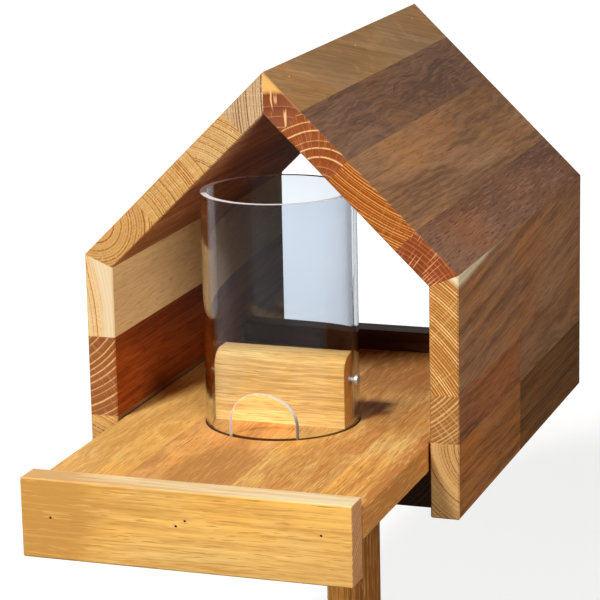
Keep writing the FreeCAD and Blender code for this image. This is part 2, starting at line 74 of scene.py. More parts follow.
# %% Place the camera
MM = 0.001
LENS_MM = 157.61
LOOK_AT = Vector((-11.48, -70.5, 295.39)) * MM
WALK_ROUND = radians(19.325)
CLIMB = radians(13.821)
TILT = radians(-1.188)
STAND_OFF = 1756.0 * MM


def orbit_direction(around, above):
    """The direction from the middle to a stand point: around is to the right of the front, above is up."""
    return Vector((sin(around) * cos(above), -cos(around) * cos(above), sin(above)))


def facing(back, tilt=0.0):
    """A turn that makes an object look along its own -Z, away from the direction called back."""
    right = Vector((0, 0, 1)).cross(back).normalized()
    up = back.cross(right)
    turn = Matrix((right, up, back)).transposed()
    return turn @ Matrix.Rotation(tilt, 3, "Z")


lens = bpy.data.cameras.new("long_lens")
lens.lens = LENS_MM
camera = bpy.data.objects.new("camera", lens)
toward_camera = orbit_direction(WALK_ROUND, CLIMB)
camera.matrix_world = Matrix.LocRotScale(
    LOOK_AT + STAND_OFF * toward_camera, facing(toward_camera, TILT).to_quaternion(), None
)
scene.collection.objects.link(camera)
scene.camera = camera
print("camera at", [round(value, 3) for value in camera.matrix_world.translation])

# %% [markdown]
# ## Nodes by hand
# Every finish below is a node tree. Written out in full, each node takes a line to make, one to set up and
# one for every wire. Four small helpers shorten that: a node with its wires, a sum, a soft step and a mix
# of two colours. Colours are written as they look on screen and turned into the linear values that a
# shader works with.

# %% Helpers for node trees
def add(tree, kind, feeds=(), **options):
    """Adds a node, sets its options, then feeds its sockets with values or with other sockets."""
    node = tree.nodes.new(kind)
    for option, value in options.items():
        setattr(node, option, value)
    for socket, value in feeds.items() if isinstance(feeds, dict) else enumerate(feeds):
        if isinstance(value, bpy.types.NodeSocket):
            tree.links.new(value, node.inputs[socket])
        else:
            node.inputs[socket].default_value = value
    return node


def calc(tree, operation, *values):
    """One sum."""
    return add(tree, "ShaderNodeMath", values, operation=operation).outputs[0]


def fade(tree, value, start, end):
    """A soft step: 0 before start, 1 after end."""
    feeds = {"Value": value, "From Min": start, "From Max": end}
    return add(tree, "ShaderNodeMapRange", feeds, interpolation_type="SMOOTHSTEP").outputs["Result"]


def mix(tree, share, first, second):
    """A colour between two colours."""
    first_colour, second_colour, mixed = 6, 7, 2
    feeds = {0: share, first_colour: first, second_colour: second}
    return add(tree, "ShaderNodeMix", feeds, data_type="RGBA").outputs[mixed]


def colour(code):
    """The linear colour of a screen colour such as C88B45, by the curve of a standard screen."""
    shares = [int(code[start:start + 2], 16) / 255 for start in (0, 2, 4)]
    return tuple(s / 12.92 if s <= 0.04045 else ((s + 0.055) / 1.055) ** 2.4 for s in shares) + (1.0,)


print("a middle grey is", [round(value, 3) for value in colour("808080")])

# %% [markdown]
# ## White ground with a shadow
# The house stands in front of plain white. A bright floor would throw its light up into the house, and a
# bright world would wash out the dark inside. So both are white only for what looks at them, straight or
# through the clear tube, and dim for soft light. Mirrored, the world is white on its far side only, and the
# floor shows a faint share of its white: the room behind the camera is dark, or it would veil the tube. The
# floor is a glow under a matt coat, so that the house still darkens it, and the glow grows where the lamps
# no longer reach.

# %% Floor and world
FLOOR_RADIUS = 6.0
FLOOR_SIDES = 96
SOFT_WORLD = 0.06  # the world's strength as a lamp
FLOOR_GLOW = 0.72  # the floor's own light near the post
FAR_GLOW = 1.0
FAR_FLOOR = (0.5, 1.6)  # where the glow grows, in metres from the post
FLOOR_COAT = colour("AEACAA")
FLOOR_GREY = colour("625E5A")
WHITE = (1, 1, 1, 1)
FLOOR_SWEEP = (0.2, 0.5)  # where the far side of the floor begins, in metres along Y
WORLD_SWEEP = (-0.1, 0.4)  # where the far side of the world begins, as a share of a direction
MIRRORED_FLOOR = 0.1


def looked_at(tree, mirrored, output, start, full):
    """1 for a ray from the eye or through glass. A ray that was mirrored on its way, in the named way, counts
    only where it looks at the far side, behind the house."""
    path = add(tree, "ShaderNodeLightPath").outputs
    bounced = calc(tree, "MINIMUM", path["Glossy Depth"], 1.0)
    unbounced = calc(tree, "SUBTRACT", 1.0, bounced)
    through = calc(tree, "MULTIPLY", path["Is Transmission Ray"], unbounced)
    place = add(tree, "ShaderNodeTexCoord").outputs[output]
    depth = add(tree, "ShaderNodeSeparateXYZ", (place,)).outputs["Y"]
    either = calc(tree, "MAXIMUM", path["Is Transmission Ray"], path[mirrored])
    far_side = calc(tree, "MULTIPLY", either, fade(tree, depth, start, full))
    return calc(tree, "MAXIMUM", calc(tree, "MAXIMUM", path["Is Camera Ray"], through), far_side)


def white_floor():
    """The floor's material."""
    material = bpy.data.materials.new("white_floor")
    material.use_nodes = True
    tree = material.node_tree
    tree.nodes.clear()
    place = add(tree, "ShaderNodeTexCoord").outputs["Object"]
    from_post = add(tree, "ShaderNodeVectorMath", (place,), operation="LENGTH").outputs["Value"]
    far = fade(tree, from_post, *FAR_FLOOR)
    strength = calc(tree, "MULTIPLY_ADD", far, FAR_GLOW - FLOOR_GLOW, FLOOR_GLOW)
    glow = add(tree, "ShaderNodeEmission", {"Strength": strength})
    coat = add(tree, "ShaderNodeBsdfDiffuse", {"Color": FLOOR_COAT})
    both = add(tree, "ShaderNodeAddShader", (glow.outputs[0], coat.outputs[0]))
    grey = add(tree, "ShaderNodeBsdfDiffuse", {"Color": FLOOR_GREY})
    share = looked_at(tree, "Is Transmission Ray", "Object", *FLOOR_SWEEP)
    glossy = add(tree, "ShaderNodeLightPath").outputs["Is Glossy Ray"]
    share = calc(tree, "MAXIMUM", share, calc(tree, "MULTIPLY", glossy, MIRRORED_FLOOR))
    chosen = add(tree, "ShaderNodeMixShader", (share, grey.outputs[0], both.outputs[0]))
    add(tree, "ShaderNodeOutputMaterial", {"Surface": chosen.outputs[0]})
    return material


def white_room():
    """The world: white to look at, dim as a lamp."""
    room = bpy.data.worlds.new("white_room")
    room.use_nodes = True
    tree = room.node_tree
    tree.nodes.clear()
    dim = add(tree, "ShaderNodeBackground", {"Color": WHITE, "Strength": SOFT_WORLD})
    white = add(tree, "ShaderNodeBackground", {"Color": WHITE, "Strength": 1.0})
    share = looked_at(tree, "Is Glossy Ray", "Generated", *WORLD_SWEEP)
    chosen = add(tree, "ShaderNodeMixShader", (share, dim.outputs[0], white.outputs[0]))
    add(tree, "ShaderNodeOutputWorld", {"Surface": chosen.outputs[0]})
    return room


turns = [tau * i / FLOOR_SIDES for i in range(FLOOR_SIDES)]
disc = bpy.data.meshes.new("floor")
edge = [(FLOOR_RADIUS * cos(turn), FLOOR_RADIUS * sin(turn), 0.0) for turn in turns]
disc.from_pydata(edge, [], [range(FLOOR_SIDES)])
disc.materials.append(white_floor())
floor = bpy.data.objects.new("floor", disc)
floor.location.z = cad_low[2]
scene.collection.objects.link(floor)
scene.world = white_room()
print("floor at z", round(floor.location.z, 4), "soft world", SOFT_WORLD)

# %% [markdown]
# ## Four lamps
# The shadows in the house tell where the main lamp stood: the left wall and the block each throw one onto
# the tray, and the two lines meet high up, in front and a little to the left. Its shadows are fairly crisp,
# so the lamp is small. A large soft lamp on the right keeps the side and the roof from going black, a weak
# one low on the left reaches under the tray, and another lights the back. An area lamp of a given power
# lights a surface by power / (pi x distance) squared, which sets all four powers.

# %% Lamps
def area_lamp(name, place, target, size, brightness):
    """A square lamp that lights a white card at the target to the given brightness."""
    away = Vector(place) - Vector(target)
    lamp = bpy.data.lights.new(name, "AREA")
    lamp.size = size
    lamp.energy = brightness * (pi * away.length) ** 2
    holder = bpy.data.objects.new(name, lamp)
    holder.matrix_world = Matrix.LocRotScale(Vector(place), facing(away.normalized()).to_quaternion(), None)
    scene.collection.objects.link(holder)
    return lamp


FRONT_OF_HOUSE = Vector((0, -0.165, 0.28))
RIGHT_SIDE = Vector((0.125, 0.0, 0.3))
POST_TOP = Vector((0, 0, 0.15))
BACK_OF_HOUSE = Vector((0, 0.165, 0.3))
key_lamp = area_lamp("key_lamp", (-0.5, -1.55, 1.72), FRONT_OF_HOUSE, 0.32, 1.06)
fill_lamp = area_lamp("fill_lamp", (1.35, -1.0, 0.75), RIGHT_SIDE, 0.8, 0.76)
low_lamp = area_lamp("low_lamp", (-1.5, -0.55, 0.42), POST_TOP, 0.6, 0.45)
back_lamp = area_lamp("back_lamp", (-1.25, 1.35, 0.2), BACK_OF_HOUSE, 0.8, 0.4)
lamps = (key_lamp, fill_lamp, low_lamp, back_lamp)
print("lamps in watts", {lamp.name: round(lamp.energy, 1) for lamp in lamps})

# %% [markdown]
# ## Where a stave lies in its log
# Every board here was sawn from a log, and that explains all its markings. Its end shows arcs of growth
# rings round the log's centre, the pith, and its faces show the same rings cut lengthwise, as streaks. A
# flat picture on each face could not meet at the edges. So the pattern is a solid one: each stave is told
# where its pith ran, and every point asks how far it lies from there. Slow noise bends the rings.

# %% The log's own frame
WANDER_ACROSS = 26.0  # bends to the metre
WANDER_ALONG = 7.0
STEADY_END = 0.5  # the share of the wander at the board's front end
STEADY_LENGTH = 70 * MM
WANDER_DETAIL = 5.0
CURL_ACROSS = 34.0
CURL_ALONG = 24.0
PLAIN_END = (8 * MM, 45 * MM)  # where the swirls begin, from the front end
ACROSS_GRAIN = (0.55, 0.8)  # how squarely a face has to cut the grain to be an end
NOISE_MIDDLE = 0.5
SMOOTH = 1.0
DETAILED = 3.0


def stretched(tree, point, across, along):
    """The point with one scale across the grain and another along it, so that specks turn into streaks."""
    scales = (across, along, across)
    return add(tree, "ShaderNodeVectorMath", (point, scales), operation="MULTIPLY").outputs[0]


def cloud(tree, point, seed, detail=2.0):
    """Soft noise about 0.5. The seed is a fourth dimension, so each stave has a noise of its own."""
    feeds = {"Vector": point, "W": seed, "Scale": 1.0, "Detail": detail}
    return add(tree, "ShaderNodeTexNoise", feeds, noise_dimensions="4D").outputs


def log_point(tree, pith, lean, wander, seed):
    """A point in the log's frame: Y runs along the grain from the board's end, X and Z start at the pith.
    The rings wander, and more so away from the board's front end."""
    place = add(tree, "ShaderNodeTexCoord").outputs["Object"]
    feeds = {"Vector": place, "Location": pith, "Rotation": lean}
    straight = add(tree, "ShaderNodeMapping", feeds, vector_type="TEXTURE").outputs[0]
    along = calc(tree, "ABSOLUTE", add(tree, "ShaderNodeSeparateXYZ", (straight,)).outputs["Y"])
    growing = calc(tree, "MULTIPLY_ADD", fade(tree, along, 0.0, STEADY_LENGTH), 1 - STEADY_END, STEADY_END)
    slow = cloud(tree, stretched(tree, straight, WANDER_ACROSS, WANDER_ALONG), seed, WANDER_DETAIL)["Color"]
    middle = (NOISE_MIDDLE,) * 3
    centred = add(tree, "ShaderNodeVectorMath", (slow, middle), operation="SUBTRACT").outputs[0]
    reach = calc(tree, "MULTIPLY", growing, wander)
    bend = add(tree, "ShaderNodeVectorMath", {0: centred, "Scale": reach}, operation="SCALE").outputs[0]
    return add(tree, "ShaderNodeVectorMath", (straight, bend), operation="ADD").outputs[0]


def curly(tree, point, curl, seed):
    """How much further out the rings lie where the grain swirls. The board's front end stays plain."""
    along = calc(tree, "ABSOLUTE", add(tree, "ShaderNodeSeparateXYZ", (point,)).outputs["Y"])
    reach = calc(tree, "MULTIPLY", fade(tree, along, *PLAIN_END), curl)
    swirl = cloud(tree, stretched(tree, point, CURL_ACROSS, CURL_ALONG), seed, SMOOTH)["Fac"]
    return calc(tree, "MULTIPLY", calc(tree, "SUBTRACT", swirl, NOISE_MIDDLE), reach)


def end_share(tree, lean):
    """1 on a face that cuts across the grain, 0 on one that runs along it."""
    normal = add(tree, "ShaderNodeTexCoord").outputs["Normal"]
    feeds = {"Vector": normal, "Rotation": lean}
    turned = add(tree, "ShaderNodeMapping", feeds, vector_type="TEXTURE").outputs[0]
    along = add(tree, "ShaderNodeSeparateXYZ", (turned,)).outputs["Y"]
    return fade(tree, calc(tree, "ABSOLUTE", along), *ACROSS_GRAIN)


wander_mm = [round(1000 / rate) for rate in (WANDER_ACROSS, WANDER_ALONG)]
print("rings wander over about", wander_mm[0], "mm across and", wander_mm[1], "mm along")

# %% [markdown]
# ## Rings, rays and pores
# Oak has three marks. Rings are one thin line a year, some strong and some faint. Rays are ribbons that run
# out from the pith: fine spokes on an end, flecks on a face. Pores are open tubes along the grain: dots on
# an end and short dashes on a face. Each is noise in the log's frame, stretched the way that mark grows.

# %% Growth rings
RING_JITTER = 1.3  # how far a ring may be out of step, in rings
JITTER_RATE = 0.4
WIDEST_LINE = 0.5 * MM  # from its middle to its edge
FAINTEST_LINE = 0.4
LINES_DIFFER = 0.7
LINE_PLACE = 1.6  # the line's middle, from the ring's start, in half widths
LINE_EDGE = (1.4, 0.5)  # where the line is gone and where it is full, in half widths


def growth_rings(tree, radius, ring, width, seed):
    """Thin lines about the pith, uneven in step, width and strength, and how far each ring has grown."""
    even = calc(tree, "DIVIDE", radius, ring)
    rate = add(tree, "ShaderNodeCombineXYZ", (calc(tree, "MULTIPLY", even, JITTER_RATE),)).outputs[0]
    count = calc(tree, "MULTIPLY_ADD", cloud(tree, rate, seed)["Fac"], RING_JITTER, even)
    grown = calc(tree, "FRACT", count)
    number = calc(tree, "ADD", calc(tree, "FLOOR", count), seed)
    chance = add(tree, "ShaderNodeTexWhiteNoise", {"W": number}, noise_dimensions="1D").outputs["Value"]
    strength = calc(tree, "MULTIPLY_ADD", chance, LINES_DIFFER, FAINTEST_LINE)
    widest = calc(tree, "MINIMUM", calc(tree, "MULTIPLY", ring, width), WIDEST_LINE)
    half = calc(tree, "MULTIPLY", widest, strength)
    into_ring = calc(tree, "MULTIPLY", grown, ring)
    from_line = calc(tree, "ABSOLUTE", calc(tree, "MULTIPLY_ADD", half, -LINE_PLACE, into_ring))
    line = fade(tree, calc(tree, "DIVIDE", from_line, half), *LINE_EDGE)
    return calc(tree, "MULTIPLY", line, strength), grown


print("a ring line is at most", round(2 * 1000 * WIDEST_LINE, 1), "mm wide")

# %% Rays and pores
RAYS_OUTWARD = 45.0  # ribbons to the metre
RAYS_ALONG = 60.0
PORES_ACROSS = 1500.0  # tubes to the metre
PORES_ALONG = 75.0
RAY_CUT = (0.56, 0.68)  # only the noise's peaks are rays
PORE_CUT = (0.58, 0.68)


def ray_flecks(tree, point, radius, rays, seed):
    """Ribbons that run out from the pith, so many to the radian."""
    x, y, z = add(tree, "ShaderNodeSeparateXYZ", (point,)).outputs
    spoke = calc(tree, "MULTIPLY", calc(tree, "ARCTAN2", z, x), rays)
    along = calc(tree, "MULTIPLY", y, RAYS_ALONG)
    outward = calc(tree, "MULTIPLY", radius, RAYS_OUTWARD)
    ribbon = add(tree, "ShaderNodeCombineXYZ", (spoke, along, outward)).outputs[0]
    return fade(tree, cloud(tree, ribbon, seed, SMOOTH)["Fac"], *RAY_CUT)


def pore_dashes(tree, point, seed):
    """Open tubes along the grain."""
    tubes = cloud(tree, stretched(tree, point, PORES_ACROSS, PORES_ALONG), seed, SMOOTH)["Fac"]
    return fade(tree, tubes, *PORE_CUT)


print("a pore is about", round(1000 / PORES_ACROSS, 1), "mm wide and", round(1000 / PORES_ALONG), "mm long")

# %% [markdown]
# ## One oak for all staves
# All staves share these marks and differ only in colour and in their place in the log. A node group holds
# the pattern once, with sockets for what differs. Every year's wood has a tone of its own, so bands on a
# face follow the rings, and swirl where the grain is curly. Faces and ends get colours of their own,
# because oil sinks deep into open end grain. Beyond a given radius lies the pale sapwood next to the bark.

# %% The oak group
OAK_SOCKETS = {
    "NodeSocketVector": ("Pith", "Lean", "Heartwood and shade", "Heartwood and shade reach"),
    "NodeSocketFloat": ("Ring", "Ring width", "Rays", "Wander", "Curl", "Sap radius", "Sap on face")
    + ("Painted top light", "Seed", "Ring mark", "Ray mark", "Pore mark", "Heartwood and shade mark"),
    "NodeSocketColor": ("Face", "Face warm", "Face dark", "Face line", "Face sap and top light")
    + ("End", "End dark", "End line", "End ray", "End sap"),
}
OAK_RESULTS = {"Color": "NodeSocketColor", "Roughness": "NodeSocketFloat", "Height": "NodeSocketFloat"}
TONES_OUTWARD = 330.0  # this and the next ones: changes to the metre
TONES_ALONG = 6.0
TONES_ACROSS = 12.0
FIBRES_ACROSS = 1000.0
FIBRES_ALONG = 38.0
PATCHES_ACROSS = 32.0
PATCHES_ALONG = 9.0
WARMTH_ACROSS = 20.0
WARMTH_ALONG = 11.0
OTHER_NOISE = 50.0
HEART_AND_SHADE_EDGE = (1.6, 0.7)  # where a dark patch ends and where it is full, in reaches: heartwood on some boards, painted shade on others
BROKEN_LINES = (0.3, 0.46)  # the fibre tones in which a ring line is gone and in which it is full


def heart_and_shade_darkening(tree, middle, reach, amount, ragged):
    """Darkening over a patch's reach, with ragged edges: heartwood on some boards, painted shade on others.
    """
    place = add(tree, "ShaderNodeTexCoord").outputs["Object"]
    away = add(tree, "ShaderNodeVectorMath", (place, middle), operation="SUBTRACT").outputs[0]
    even = add(tree, "ShaderNodeVectorMath", (away, reach), operation="DIVIDE").outputs[0]
    distance = add(tree, "ShaderNodeVectorMath", (even,), operation="LENGTH").outputs["Value"]
    return calc(tree, "MULTIPLY", fade(tree, calc(tree, "ADD", distance, ragged), *HEART_AND_SHADE_EDGE), amount)


def year_tones(tree, point, radius, seed):
    """A tone for each year's layer of wood, which drifts slowly along and across the log."""
    x, y, z = add(tree, "ShaderNodeSeparateXYZ", (point,)).outputs
    outward = calc(tree, "MULTIPLY", radius, TONES_OUTWARD)
    along = calc(tree, "MULTIPLY", y, TONES_ALONG)
    across = calc(tree, "MULTIPLY", x, TONES_ACROSS)
    place = add(tree, "ShaderNodeCombineXYZ", (outward, along, across)).outputs[0]
    return cloud(tree, place, seed, DETAILED)["Fac"]


oak = bpy.data.node_groups.new("oak_figure", "ShaderNodeTree")
for kind, names in OAK_SOCKETS.items():
    for name in names:
        oak.interface.new_socket(name, in_out="INPUT", socket_type=kind)
for name, kind in OAK_RESULTS.items():
    oak.interface.new_socket(name, in_out="OUTPUT", socket_type=kind)

given = add(oak, "NodeGroupInput").outputs
seed = given["Seed"]
point = log_point(oak, given["Pith"], given["Lean"], given["Wander"], seed)
across_grain = add(oak, "ShaderNodeVectorMath", (point, (1, 0, 1)), operation="MULTIPLY").outputs[0]
distance = add(oak, "ShaderNodeVectorMath", (across_grain,), operation="LENGTH").outputs["Value"]
radius = calc(oak, "ADD", distance, curly(oak, point, given["Curl"], seed))
lines, grown = growth_rings(oak, radius, given["Ring"], given["Ring width"], seed)
fibres = cloud(oak, stretched(oak, point, FIBRES_ACROSS, FIBRES_ALONG), seed)["Fac"]
broken = fade(oak, fibres, *BROKEN_LINES)
rings = calc(oak, "MULTIPLY", calc(oak, "MULTIPLY", lines, broken), given["Ring mark"])
rays = calc(oak, "MULTIPLY", ray_flecks(oak, point, radius, given["Rays"], seed), given["Ray mark"])
pores = calc(oak, "MULTIPLY", pore_dashes(oak, point, seed), given["Pore mark"])
tones = year_tones(oak, point, radius, seed)
patches = cloud(oak, stretched(oak, point, PATCHES_ACROSS, PATCHES_ALONG), seed, DETAILED)["Fac"]
other_seed = calc(oak, "ADD", seed, OTHER_NOISE)
drift = cloud(oak, stretched(oak, point, WARMTH_ACROSS, WARMTH_ALONG), other_seed)["Fac"]
print("oak group so far", len(oak.nodes), "nodes")

# %% Colour of faces and ends
TONE_WEIGHT = 0.44
PATCH_WEIGHT = 0.26
FIBRE_WEIGHT = 0.34
SHADE_RANGE = (0.37, 0.67)
WARM_RANGE = (0.35, 0.65)
RINGS_ON_FACE = 0.2
RAY_ON_FACE = 0.006  # for each ray to the radian: flecks of wide rays would cover the face
RAYS_ON_END = 0.6
PORES_ON_END = 0.8
LATE_WOOD = 0.5
SHADE_ON_END = 0.5

coarse = calc(oak, "MULTIPLY_ADD", tones, TONE_WEIGHT, calc(oak, "MULTIPLY", patches, PATCH_WEIGHT))
plain_shade = fade(oak, calc(oak, "MULTIPLY_ADD", fibres, FIBRE_WEIGHT, coarse), *SHADE_RANGE)
heart_and_shade = heart_and_shade_darkening(oak, given["Heartwood and shade"], given["Heartwood and shade reach"], given["Heartwood and shade mark"], tones)
shade = calc(oak, "MINIMUM", calc(oak, "ADD", plain_shade, heart_and_shade), 1.0)
face = mix(oak, fade(oak, drift, *WARM_RANGE), given["Face"], given["Face warm"])
face = mix(oak, shade, face, given["Face dark"])
face = mix(oak, calc(oak, "MULTIPLY", rings, RINGS_ON_FACE), face, given["Face line"])
thin_rays = calc(oak, "MULTIPLY", calc(oak, "MULTIPLY", rays, RAY_ON_FACE), given["Rays"])
face = mix(oak, calc(oak, "MINIMUM", thin_rays, 1.0), face, given["Face line"])
face = mix(oak, pores, face, given["Face dark"])
late = calc(oak, "MULTIPLY_ADD", grown, LATE_WOOD, calc(oak, "MULTIPLY", shade, SHADE_ON_END))
end = mix(oak, late, given["End"], given["End dark"])
end = mix(oak, calc(oak, "MULTIPLY", rays, RAYS_ON_END), end, given["End ray"])
end = mix(oak, calc(oak, "MULTIPLY", pores, PORES_ON_END), end, given["End dark"])
end = mix(oak, rings, end, given["End line"])
print("face and end colours use", len(oak.nodes), "nodes")

# %% Sapwood, painted light on tops, gloss and relief
SAP_RAGGED = 6 * MM
SAP_EDGE = (1 * MM, 5 * MM)
SHADE_ON_SAP = 0.45
PORES_ON_SAP = 0.6
RINGS_ON_SAP = 0.5
FACING_UP = (0.5, 0.9)
PAINTED_TOP_LIGHT_LEVEL = 1.2  # less what is dark, which gets less of the painted light
PLAIN_ROUGHNESS = 0.42
TONE_ROUGHNESS = 0.25
PORE_ROUGHNESS = 0.15
END_ROUGHNESS = 0.1
RING_HEIGHT = 0.3

past_sap = calc(oak, "SUBTRACT", radius, given["Sap radius"])
sap_share = fade(oak, calc(oak, "MULTIPLY_ADD", patches, SAP_RAGGED, past_sap), *SAP_EDGE)
face_sap = mix(oak, calc(oak, "MULTIPLY", shade, SHADE_ON_SAP), given["Face sap and top light"], given["Face dark"])
face_sap = mix(oak, calc(oak, "MULTIPLY", pores, PORES_ON_SAP), face_sap, given["Face dark"])
end_sap = mix(oak, calc(oak, "MULTIPLY", rings, RINGS_ON_SAP), given["End sap"], given["End"])
face = mix(oak, calc(oak, "MULTIPLY", sap_share, given["Sap on face"]), face, face_sap)
normal = add(oak, "ShaderNodeTexCoord").outputs["Normal"]
# Upward faces turn towards the face sap colour where the wood is light: painted light on tops
upward = fade(oak, add(oak, "ShaderNodeSeparateXYZ", (normal,)).outputs["Z"], *FACING_UP)
lightness = calc(oak, "SUBTRACT", PAINTED_TOP_LIGHT_LEVEL, shade)
painted_top_light = calc(oak, "MULTIPLY", calc(oak, "MULTIPLY", upward, given["Painted top light"]), lightness)
face = mix(oak, painted_top_light, face, given["Face sap and top light"])
ends = end_share(oak, given["Lean"])
toned = calc(oak, "MULTIPLY_ADD", tones, TONE_ROUGHNESS, PLAIN_ROUGHNESS)
dull = calc(oak, "MULTIPLY_ADD", pores, PORE_ROUGHNESS, toned)
result = {
    "Color": mix(oak, ends, face, mix(oak, sap_share, end, end_sap)),
    "Roughness": calc(oak, "MULTIPLY_ADD", ends, END_ROUGHNESS, dull),
    "Height": calc(oak, "MULTIPLY_ADD", pores, -1.0, calc(oak, "MULTIPLY", rings, RING_HEIGHT)),
}
add(oak, "NodeGroupOutput", result)
print("oak group", len(oak.nodes), "nodes,", len(oak.links), "wires")

# %% [markdown]
# ## A board's finish
# The material itself is short: the oak group, a bump from its relief and a satin shader for the oil. What
# is the same all over, such as the strength of the reflection, is set on the shader, where an export can
# read it.

# %% From a stave to its material
OIL_REFLECTION = 0.05
RELIEF_DEPTH = 0.25 * MM
RELIEF_STRENGTH = 0.35
NO_SAPWOOD = 9.0  # metres from the pith, so nowhere
RAYS_PER_RADIAN = 95.0
RING_WIDTH = 0.2  # of a ring, from its line's middle to its edge
ALONG_X = (0.0, 90.0)  # leans that turn the grain from Y to another axis
ALONG_Z = (90.0, 0.0)
SEED_STEP = 7.3


def dress(node, material):
    """Puts one material on a solid."""
    mesh = nodes[node].data
    mesh.materials.clear()
    mesh.materials.append(material)


def oak_board(node, wood, pith, ring, wander=3.0, lean=(0.0, 0.0), sap=None, marks=(1.0, 0.5, 0.5), **more):
    """Finishes one board. The pith is measured in mm from the middle of the board's front end, across and
    up. The lean is the grain's rise and swing in degrees. The marks are rings, rays and pores."""
    low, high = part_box(node)
    pith_place = (low + high) / 2
    across, up = pith
    if lean == ALONG_X:
        pith_place.x = low.x
        pith_place += Vector((0, across, up)) * MM
    else:
        pith_place.y = low.y
        pith_place += Vector((across, 0, up)) * MM
    rise, swing = lean
    feeds = {
        "Pith": pith_place,
        "Lean": (radians(rise), 0.0, radians(swing)),
        "Ring": ring * MM,
        "Ring width": RING_WIDTH,
        "Wander": wander * MM,
        "Rays": RAYS_PER_RADIAN,
        "Sap radius": sap * MM if sap else NO_SAPWOOD,
        "Sap on face": 1.0,
        "Seed": SEED_STEP * (1 + sorted(nodes).index(node)),
    }
    feeds.update(zip(("Ring mark", "Ray mark", "Pore mark"), marks))
    feeds.update(wood)
    feeds.update(more)
    material = bpy.data.materials.new(f"oak_{node}")
    material.use_nodes = True
    tree = material.node_tree
    shader = tree.nodes["Principled BSDF"]
    shader.inputs["Specular IOR Level"].default_value = OIL_REFLECTION
    figure = add(tree, "ShaderNodeGroup", feeds, node_tree=oak).outputs
    bump_feeds = {"Height": figure["Height"], "Strength": RELIEF_STRENGTH, "Distance": RELIEF_DEPTH}
    bump = add(tree, "ShaderNodeBump", bump_feeds).outputs[0]
    tree.links.new(figure["Color"], shader.inputs["Base Color"])
    tree.links.new(figure["Roughness"], shader.inputs["Roughness"])
    tree.links.new(bump, shader.inputs["Normal"])
    dress(node, material)


# What is left of a colour's red, green and blue in a face's dark streaks
CALM_FACE = (0.65, 0.6, 0.56)
GLOWING = (0.72, 0.56, 0.4)
SPICED = (0.6, 0.43, 0.28)
TANNED = (0.58, 0.46, 0.38)
FOXY = (0.62, 0.36, 0.25)
LIVELY_FACE = (0.4, 0.36, 0.37)
BLACKENED = (0.36, 0.28, 0.26)
# SHADED also gives the painted shade on the post's right side its colour
SHADED = (0.33, 0.24, 0.16)
# The same for a face's warm areas, for the late wood on an end and for the lines on a face
WARMER_FACE = (1.15, 0.96, 0.66)
RUDDY = (1.06, 0.8, 0.5)
DEEPER_END = (0.62, 0.52, 0.42)
LIGHTER_FACE = (1.4, 1.43, 1.46)
CREAM = "EFD6AB"


def scaled(shade, factors):
    """A colour with its red, green and blue scaled."""
    return tuple(part * factor for part, factor in zip(shade, factors)) + (1.0,)


def heart_and_shade_patch(middle, reach, amount):
    """A dark patch's middle and reach, in mm: heartwood on some boards, painted shade on others."""
    return {"Heartwood and shade": Vector(middle) * MM, "Heartwood and shade reach": Vector(reach) * MM, "Heartwood and shade mark": amount}


def timber(face, end, end_line, end_sap=CREAM, face_sap=None, deeper=LIVELY_FACE, end_ray=None):
    """The colours of one timber, as the oak group calls them."""
    return {
        "Face": colour(face),
        "Face warm": scaled(colour(face), WARMER_FACE),
        "Face dark": scaled(colour(face), deeper),
        "Face line": scaled(colour(face), LIGHTER_FACE),
        "Face sap and top light": colour(face_sap or end_sap),
        "End": colour(end),
        "End dark": scaled(colour(end), DEEPER_END),
        "End line": colour(end_line),
        "End ray": colour(end_ray or end_line),
        "End sap": colour(end_sap),
    }


print("reflection", OIL_REFLECTION, "relief in mm", RELIEF_DEPTH / MM)

# %% [markdown]
# ## The roof
# Each slope is four staves glued edge to edge, picked from different logs, so brown and golden bands run
# from the front to the back. The front shows how each was sawn: wide arcs where the pith was close, almost
# straight lines where it was far away. The ridge stave on the right was sawn askew, so its lines drift down
# the slope.

# %% Roof staves
RUSSET = timber("A68157", "8E5236", "CFA478", "D9A55A", deeper=CALM_FACE, end_ray="EBB87C")
AMBER = timber("87634A", "964F26", "DCAF78")
GOLDEN = timber("A0754F", "9E5019", "CA934F")
DUSKY = timber("865D43", "924B27", "BB7F53", end_ray="DE9F70")
STRAW = timber("9C6C50", "CDB089", "7A4C22", end_ray="F0DCB4")
FLAXEN = timber("B07650", "DBB97C", "925723", end_ray="F0DCB4")
HONEY = timber("A0643C", "D5AD6B", "965A24", end_ray="F0DCB4")
BUFF = timber("B57A4C", "D7AC6A", "925723", end_ray="F0DCB4")

RIDGE_LEAN = (-13.8, -14.6)
LOWER_LEAN = (-1.1, -1.1)

ridge = heart_and_shade_patch((5, -165, 445), (12, 30, 9), 0.8) | {"Rays": 26.0, "Sap on face": 0.0}
oak_board("right_roof_ridge_stave", RUSSET, (4, -62), 7.0, 4.0, RIDGE_LEAN, 66, (0.4, 1.5, 0.5), **ridge)
swirl = heart_and_shade_patch((40, 60, 425), (40, 150, 40), 0.35) | {"Curl": 22 * MM}
oak_board("right_roof_upper_stave", AMBER, (4, -31), 5.5, 6.0, marks=(1.0, 0.5, 0.5), **swirl)
lower = {"marks": (1.0, 0.3, 0.5), "Curl": 2.5 * MM}
oak_board("right_roof_lower_stave", GOLDEN, (73.6, 130.9), 1.6, 5.0, LOWER_LEAN, **lower)
eave = heart_and_shade_patch((97, -165, 348), (9, 16, 11), 1.0) | {"Rays": 60.0, "Curl": 4 * MM}
oak_board("right_roof_eave_stave", DUSKY, (-45, -54), 3.0, 6.0, marks=(0.45, 1.5, 0.9), **eave)
close = {"marks": (1.0, 0.3, 0.8), "Ring width": 0.33}
oak_board("left_roof_ridge_stave", STRAW, (160, 10), 2.0, 3.0, **close)
